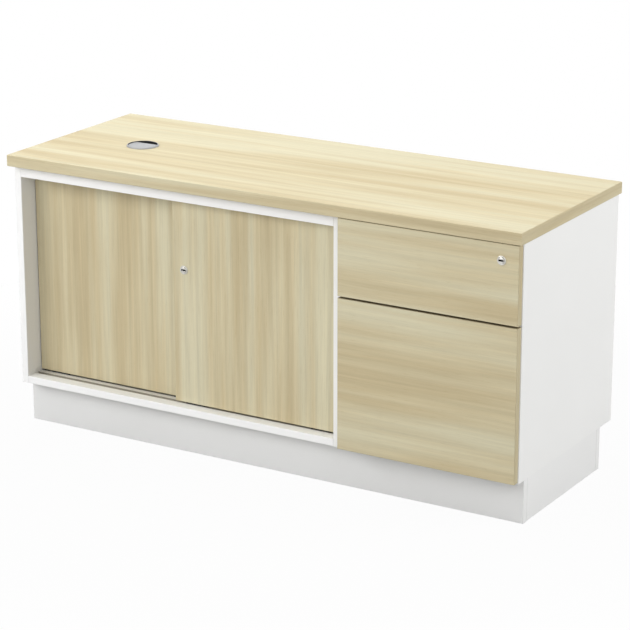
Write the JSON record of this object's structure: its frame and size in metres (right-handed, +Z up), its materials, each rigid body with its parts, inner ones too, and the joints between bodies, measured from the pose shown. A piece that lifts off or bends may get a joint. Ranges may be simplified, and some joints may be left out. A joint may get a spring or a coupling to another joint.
{
  "type": "office credenza",
  "caption": "Low office credenza: sliding door cabinet beside a lockable drawer pedestal, on a set-back plinth under one wood grain worktop with a cable grommet.",
  "frame": {"origin": "on the floor under the middle of the worktop", "axes": "+X to the right seen from the front, +Y towards the back, +Z up"},
  "size_m": [1.2, 0.451, 0.6033],
  "materials": {
    "wood_grain_board": "satin melamine with straight grain",
    "white_board": "satin white melamine",
    "plinth_board": "satin light grey melamine",
    "drawer_box_board": "satin off-white melamine",
    "track_plastic": "satin extruded plastic",
    "glide_plastic": "satin black moulded plastic",
    "runner_steel": "zinc plated",
    "nickel_plate": "satin nickel plate",
    "grommet_silver": "silver painted, semi-gloss"
  },
  "bodies": {
    "carcass": {"bottom_track": "track_plastic", "cabinet_back": "white_board", "cabinet_bottom": "white_board", "cabinet_left_side": "white_board", "cabinet_right_side": "white_board", "cabinet_top": "white_board", "file_runner_left_fixed": "runner_steel", "file_runner_right_fixed": "runner_steel", "grommet_liner": "grommet_silver", "pedestal_back": "white_board", "pedestal_bottom": "white_board", "pedestal_left_side": "white_board", "pedestal_right_side": "white_board", "pedestal_top": "white_board", "plinth_back": "plinth_board", "plinth_front": "plinth_board", "plinth_left": "plinth_board", "plinth_right": "plinth_board", "shelf": "white_board", "shelf_pin_front_left": "nickel_plate", "shelf_pin_front_right": "nickel_plate", "shelf_pin_rear_left": "nickel_plate", "shelf_pin_rear_right": "nickel_plate", "top_runner_left_fixed": "runner_steel", "top_runner_right_fixed": "runner_steel", "top_track": "track_plastic", "worktop": "wood_grain_board"},
    "grommet_cap": {"grommet_cap": "grommet_silver"},
    "front_door": {"front_door": "wood_grain_board", "front_door_glide_left": "glide_plastic", "front_door_glide_right": "glide_plastic", "front_door_guide_left": "glide_plastic", "front_door_guide_right": "glide_plastic", "door_lock_housing": "nickel_plate"},
    "rear_door": {"rear_door": "wood_grain_board", "rear_door_glide_left": "glide_plastic", "rear_door_glide_right": "glide_plastic", "rear_door_guide_left": "glide_plastic", "rear_door_guide_right": "glide_plastic"},
    "door_lock_plug": {"door_lock_plug": "nickel_plate"},
    "door_lock_bolt": {"door_lock_bolt": "nickel_plate"},
    "top_drawer": {"top_drawer_back": "drawer_box_board", "top_drawer_bottom": "drawer_box_board", "top_drawer_front": "wood_grain_board", "top_drawer_left_side": "drawer_box_board", "top_drawer_right_side": "drawer_box_board", "top_runner_left_drawer": "runner_steel", "top_runner_right_drawer": "runner_steel", "drawer_lock_housing": "nickel_plate"},
    "file_drawer": {"file_drawer_back": "drawer_box_board", "file_drawer_bottom": "drawer_box_board", "file_drawer_front": "wood_grain_board", "file_drawer_left_side": "drawer_box_board", "file_drawer_right_side": "drawer_box_board", "file_runner_left_drawer": "runner_steel", "file_runner_right_drawer": "runner_steel"},
    "file_runner_middle": {"file_runner_left_middle": "runner_steel", "file_runner_right_middle": "runner_steel"},
    "drawer_lock_plug": {"drawer_lock_plug": "nickel_plate"},
    "locking_bar": {"locking_bar": "runner_steel"}
  },
  "joints": [
    {"name": "front_door_slide", "type": "slide", "parent": "carcass", "child": "front_door", "axis": [1, 0, 0], "range_m": [-0.36525, 0]},
    {"name": "rear_door_slide", "type": "slide", "parent": "carcass", "child": "rear_door", "axis": [-1, 0, 0], "range_m": [-0.34975, 0]},
    {"name": "door_bolt_slide", "type": "slide", "parent": "front_door", "child": "door_lock_bolt", "axis": [0, 1, 0], "range_m": [0, 0.006]},
    {"name": "door_lock_turn", "type": "hinge", "parent": "front_door", "child": "door_lock_plug", "pos_m": [-0.18675, -0.18, 0.39975], "axis": [0, -1, 0], "range_deg": [0, 90]},
    {"name": "top_drawer_slide", "type": "slide", "parent": "carcass", "child": "top_drawer", "axis": [0, 1, 0], "range_m": [-0.285, 0]},
    {"name": "file_drawer_slide", "type": "slide", "parent": "carcass", "child": "file_drawer", "axis": [0, 1, 0], "range_m": [-0.38, 0]},
    {"name": "file_runner_slide", "type": "slide", "parent": "carcass", "child": "file_runner_middle", "axis": [0, 1, 0], "range_m": [-0.19, 0]},
    {"name": "locking_bar_lift", "type": "slide", "parent": "carcass", "child": "locking_bar", "axis": [0, 0, 1], "range_m": [0, 0.008]},
    {"name": "drawer_lock_turn", "type": "hinge", "parent": "top_drawer", "child": "drawer_lock_plug", "pos_m": [0.55825, -0.22, 0.54125], "axis": [0, -1, 0], "range_deg": [0, 90]},
    {"name": "grommet_cap_turn", "type": "hinge", "parent": "carcass", "child": "grommet_cap", "pos_m": [-0.39975, -0.015, 0.6], "axis": [0, 0, 1], "continuous": true}
  ],
  "couplings": [
    {"joint": "file_runner_slide", "follows": "file_drawer_slide", "ratio": 0.5},
    {"joint": "drawer_lock_turn", "follows": "locking_bar_lift", "rad_per_m": 196.35},
    {"joint": "door_lock_turn", "follows": "door_bolt_slide", "rad_per_m": 261.8}
  ]
}
